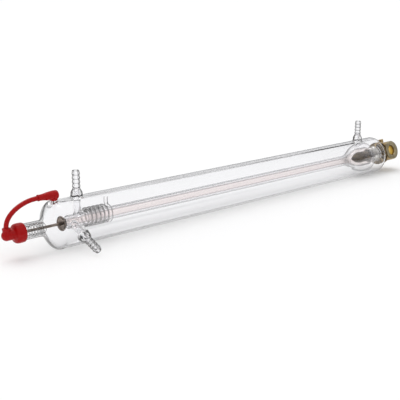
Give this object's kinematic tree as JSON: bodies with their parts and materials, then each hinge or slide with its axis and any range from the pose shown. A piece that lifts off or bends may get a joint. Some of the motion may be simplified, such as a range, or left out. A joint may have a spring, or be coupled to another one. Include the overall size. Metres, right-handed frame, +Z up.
{
  "type": "sealed glass laser tube",
  "caption": "Sealed glass laser tube with water jacket, gas return coil, barbed water nipples, red high voltage boots and a brass turning head with a side window",
  "frame": {"origin": "Middle of the outer face of the end plate on the turning head.", "axes": "X along the tube, pointing out of the end plate; the glass lies at negative X. Z up. The window and the side nipple look towards negative Y."},
  "size_m": [0.6852, 0.0819, 0.0845],
  "materials": {
    "clear_glass": "clear borosilicate tubing, smooth, with soft flame-worked joins",
    "nickel": "dull grey-brown nickel sheet",
    "plated_sleeve": "bright nickel plate on turned metal",
    "brass": "turned brass, slightly browned",
    "dark_brass": "dark bronzed brass",
    "yellow_window": "polished yellow zinc selenide, seen as a solid glossy disc",
    "gold_mirror": "polished gold coating",
    "red_silicone": "glossy deep red silicone rubber"
  },
  "bodies": {
    "root": {"outer_envelope": "clear_glass", "water_jacket": "clear_glass", "discharge_tube": "clear_glass", "gas_return_coil": "clear_glass", "water_nipple_top": "clear_glass", "water_nipple_side": "clear_glass", "water_nipple_rear": "clear_glass", "neck_bellows": "clear_glass", "anode_seal": "clear_glass", "starter_stub": "clear_glass", "cathode_sleeve": "nickel", "anode_cone": "nickel", "anode_tube": "nickel", "starter_pin": "nickel", "rear_mirror": "gold_mirror", "fold_mirror": "gold_mirror", "anode_boot": "red_silicone", "starter_boot": "red_silicone", "high_voltage_lead": "red_silicone", "end_sleeve": "plated_sleeve", "end_plate_screw_1": "plated_sleeve", "end_plate_screw_2": "plated_sleeve", "end_plate_screw_3": "plated_sleeve", "end_plate_screw_4": "plated_sleeve", "adjusting_plate": "brass", "adjusting_screw_1": "brass", "adjusting_screw_2": "brass", "adjusting_screw_3": "brass", "head_body": "brass", "clamp_screw": "brass", "end_plate": "brass", "window_ring": "dark_brass", "output_window": "yellow_window"}
  },
  "joints": []
}
